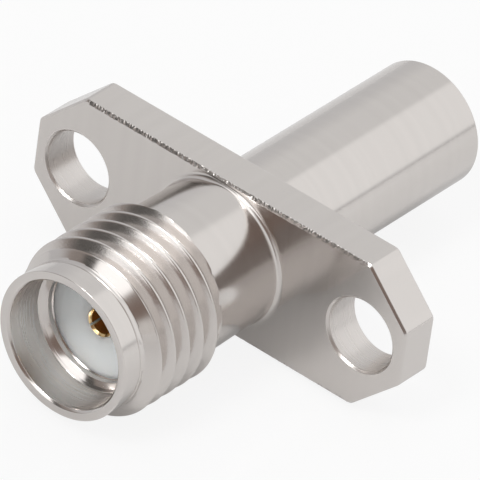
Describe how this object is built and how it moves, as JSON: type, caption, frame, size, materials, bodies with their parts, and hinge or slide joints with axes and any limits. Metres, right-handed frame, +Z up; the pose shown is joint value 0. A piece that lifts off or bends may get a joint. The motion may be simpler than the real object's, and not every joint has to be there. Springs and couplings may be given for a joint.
{
  "type": "flange-mount coaxial jack",
  "caption": "Threaded subminiature coaxial jack with a slotted socket contact, a screw-mount flange and a plain rear barrel for soldering a semi-rigid cable.",
  "frame": {"origin": "middle of the flange's mounting face, on the connector axis, halfway between the screw holes", "axes": "+Y along the connector axis towards the cable end, mouth towards -Y; +X along the flange; +Z up"},
  "size_m": [0.0158, 0.019, 0.0062],
  "materials": {
    "shell_metal": "bright nickel plate over turned and milled metal",
    "white_insulator": "satin white fluoropolymer",
    "gold_plate": "gold plate"
  },
  "bodies": {
    "root": {"body": "shell_metal", "insulator": "white_insulator", "contact": "gold_plate"}
  },
  "joints": []
}
